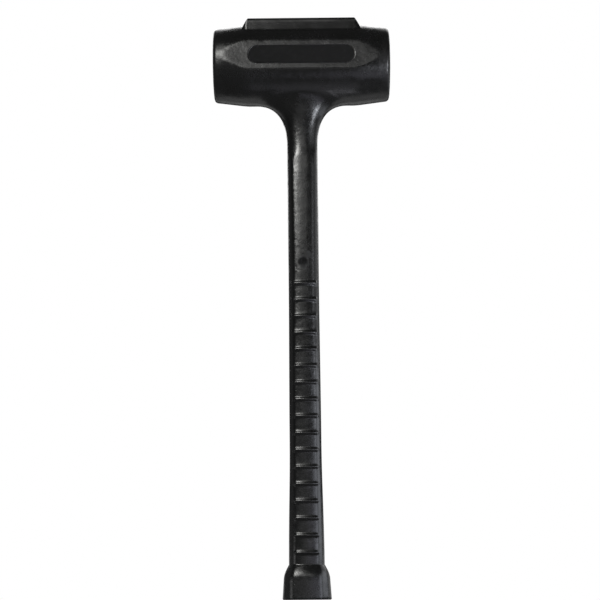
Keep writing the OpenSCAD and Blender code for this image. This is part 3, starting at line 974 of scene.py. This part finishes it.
def floor_finish():
    """Matt sheet, pale and glowing to the camera and grey to the light that it throws back.

    The band behind rises and falls along Y between the distances in BAND_RISE and BAND_FALL,
    and the glow grows evenly from GLOW_FROM to the edge. All are in metres."""
    material, tree, shader, coords = new_finish("white_floor")
    place = tree.nodes.new("ShaderNodeSeparateXYZ")
    tree.links.new(coords, place.inputs[0])
    band = combine(tree, "SUBTRACT", spread(tree, place.outputs[1], *BAND_RISE),
                   spread(tree, place.outputs[1], *BAND_FALL))
    share = combine(tree, "ADD", combine(tree, "MULTIPLY", band, BAND_GLOSS), FLOOR_GLOSS)
    seen = shows_background(tree, share)
    sheet = blend_colours(tree, seen, FLOOR_GREY, FLOOR_PALE)
    tree.links.new(sheet, shader.inputs["Base Color"])
    shader.inputs["Roughness"].default_value = FLOOR_ROUGH
    shader.inputs["Emission Color"].default_value = (1, 1, 1, 1)
    distance = tree.nodes.new("ShaderNodeVectorMath")
    distance.operation = "LENGTH"
    tree.links.new(coords, distance.inputs[0])
    glow = spread(tree, distance.outputs["Value"], GLOW_FROM, FLOOR_HALF, GLOW_NEAR, GLOW_FAR)
    tree.links.new(combine(tree, "MULTIPLY", seen, glow), shader.inputs["Emission Strength"])
    return material


floor_mesh = bpy.data.meshes.new("floor_sheet")
floor_mesh.from_pydata(
    [(-FLOOR_HALF, -FLOOR_HALF, 0), (FLOOR_HALF, -FLOOR_HALF, 0),
     (FLOOR_HALF, FLOOR_HALF, 0), (-FLOOR_HALF, FLOOR_HALF, 0)],
    [],
    [(0, 1, 2, 3)],
)
floor_mesh.materials.append(floor_finish())
floor_sheet = bpy.data.objects.new("floor_sheet", floor_mesh)
bpy.context.scene.collection.objects.link(floor_sheet)
print("floor:", 2 * FLOOR_HALF, "m square")

# %% [markdown]
# ## World
#
# Behind the floor's edge the camera sees the world. One white background would also light the
# hammer from all sides and take away its dark parts, so two backgrounds are mixed by the kind
# of ray: a white one where the camera looks, and a dim one for the light on the hammer.

# %% World
WORLD_DIM, WORLD_TINT = 0.06, (0.97, 0.98, 1.0, 1)
world = bpy.data.worlds.new("studio")
bpy.context.scene.world = world
world.use_nodes = True
tree = world.node_tree
dim = tree.nodes["Background"]
dim.inputs["Color"].default_value = WORLD_TINT
dim.inputs["Strength"].default_value = WORLD_DIM
white = tree.nodes.new("ShaderNodeBackground")
white.inputs["Color"].default_value = (1, 1, 1, 1)
white.inputs["Strength"].default_value = 1.0
either = tree.nodes.new("ShaderNodeMixShader")
tree.links.new(shows_background(tree, WORLD_GLOSS), either.inputs[0])
tree.links.new(dim.outputs[0], either.inputs[1])
tree.links.new(white.outputs[0], either.inputs[2])
tree.links.new(either.outputs[0], tree.nodes["World Output"].inputs["Surface"])
bpy.context.scene.view_settings.view_transform = "Standard"
print("world strength for the hammer's light:", WORLD_DIM)

# %% [markdown]
# ## Lamps
#
# A black glossy thing shows its lamps more than its own colour, so each lamp here stands where
# one patch of the skin mirrors it. The warm white keys at the upper left draw the glint on the
# head's left end and the bright strip down the left of the shank. The front panel is what the
# land, the pad and the middle of the handle mirror. Cool walls and cards at the right and near
# the floor light the right edge of the handle, the neck's streak and the underside of the
# head. Two large lamps behind give the top and the back their form. One big soft box would
# be simpler, but it would fill the dark strips between these patches.

# %% Soft lamps


def soft_lamp(name, place, aim, size, power, colour, beam=180):
    """Rectangular lamp at a place in metres, turned towards a point, with its beam in degrees."""
    data = bpy.data.lights.new(name, "AREA")
    data.shape = "RECTANGLE"
    data.size, data.size_y = size
    data.energy = power
    data.color = colour
    data.spread = np.radians(beam)
    lamp = bpy.data.objects.new(name, data)
    turn = (Vector(aim) - Vector(place)).to_track_quat("-Z", "Y").to_matrix().to_4x4()
    lamp.matrix_world = Matrix.Translation(place) @ turn
    lamp.visible_camera = False
    bpy.context.scene.collection.objects.link(lamp)


WHITE, WARM = (1.0, 1.0, 1.0), (1.0, 1.0, 0.97)
HEAD_MIDDLE = (0, 0, AXIS_Z * MM)
LAMPS = {
    # place, aim, width and height in metres, power in watts, colour, beam in degrees
    "key_strip": ((-0.64, -1.62, 1.17), (0, 0, 0.9), (0.32, 0.6), 16.5, WARM),
    "key_side": ((-0.36, -1.68, 1.2), (0, 0, 0.9), (0.22, 0.56), 1.2, WARM),
    "key_top": ((-0.62, -1.6, 1.75), (0, 0, 1.0), (0.28, 0.6), 2.8, WARM),
    "front_panel": ((-0.15, -1.9, 0.935), HEAD_MIDDLE, (1.05, 0.42), 2.6, (1.0, 1.0, 0.98)),
    "right_wall": ((0.95, -0.75, 0.6), (0, 0, 0.5), (1.1, 0.42), 1.3, (0.95, 0.97, 1.0)),
    "right_far_wall": ((1.0, 0.4, 0.6), (0, 0, 0.5), (1.0, 0.6), 1.2, (0.97, 0.98, 1.0)),
    "left_wall": ((-1.0, 0.2, 0.35), (0, 0, 0.3), (0.8, 0.8), 0.2, WHITE),
    "left_low": ((-0.3, -0.15, 0.03), (0, 0, 0), (0.3, 0.06), 0.022, WHITE, 70),
    "cool_side": ((0.55, -0.045, 0.17), (0, 0, 0.17), (0.75, 0.3), 0.6, (0.88, 0.92, 1.0), 100),
    "cool_front": ((0.38, -0.53, 0.15), (0, 0, 0.13), (0.38, 0.3), 0.25, (0.86, 0.9, 1.0), 80),
    "neck_card": ((0.44, -0.46, 0.31), (0, 0, 0.5), (0.13, 0.3), 0.18, (0.9, 0.93, 1.0), 50),
    "floor_card": ((0.17, -0.4, 0.02), (0, 0, 0.5), (0.36, 0.35), 0.3, (0.84, 0.82, 1.0)),
    "foot_card": ((0.04, -0.14, 0.02), (0.04, -0.1, 0.6), (0.22, 0.22), 0.008, (0.9, 0.88, 1.0), 60),
    "flare_card": ((0.06, 0.04, 0.02), (0.04, 0, 0.6), (0.08, 0.12), 0.004, (0.92, 0.92, 1.0), 50),
    "camera_flash": ((0, -1.62, 0.1), HEAD_MIDDLE, (0.6, 0.12), 0.27, WHITE),
    "front_low": ((-0.15, -1.75, 0.28), (0, 0, 0.2), (1.0, 0.24), 0.22, WHITE),
    "bounce_card": ((0.05, 0.28, 0.03), HEAD_MIDDLE, (0.6, 0.3), 0.25, WHITE),
    "back_soft": ((0.1, 1.7, 1.25), HEAD_MIDDLE, (3.0, 0.9), 17, WHITE),
    "top_soft": ((0.1, 0.95, 1.45), HEAD_MIDDLE, (0.9, 0.5), 3, WHITE),
}
for name, lamp_look in LAMPS.items():
    soft_lamp(name, *lamp_look)
print("lamps:", len(LAMPS), "with", round(sum(look[3] for look in LAMPS.values()), 1), "watts")

# %% [markdown]
# ## Camera
#
# The ribs are evenly spaced on the real grip, and the picture shows them slightly wider apart
# at the bottom than at the top. With the height of the land on the barrel that gives the
# camera: it stands level with the butt end, 1.6 m in front, and looks up at the hammer. A
# guess by eye would match the outline too, but it would show the land at a wrong height.

# %% Camera
CAMERA_PLACE = (-0.0039, -1.6, 0.0)
CAMERA_TILT, CAMERA_ROLL = np.radians(10.22), np.radians(-0.6)
SENSOR_MM, LENS_MM = 36, 99.84
camera_data = bpy.data.cameras.new("camera")
camera_data.sensor_width = SENSOR_MM
camera_data.lens = LENS_MM
camera = bpy.data.objects.new("camera", camera_data)
camera.matrix_world = (
    Matrix.Translation(CAMERA_PLACE)
    @ Matrix.Rotation(np.pi / 2 + CAMERA_TILT, 4, "X")
    @ Matrix.Rotation(CAMERA_ROLL, 4, "Z")
)
bpy.context.scene.collection.objects.link(camera)
bpy.context.scene.camera = camera
print("camera tilt:", round(float(np.degrees(CAMERA_TILT)), 2), "degrees")
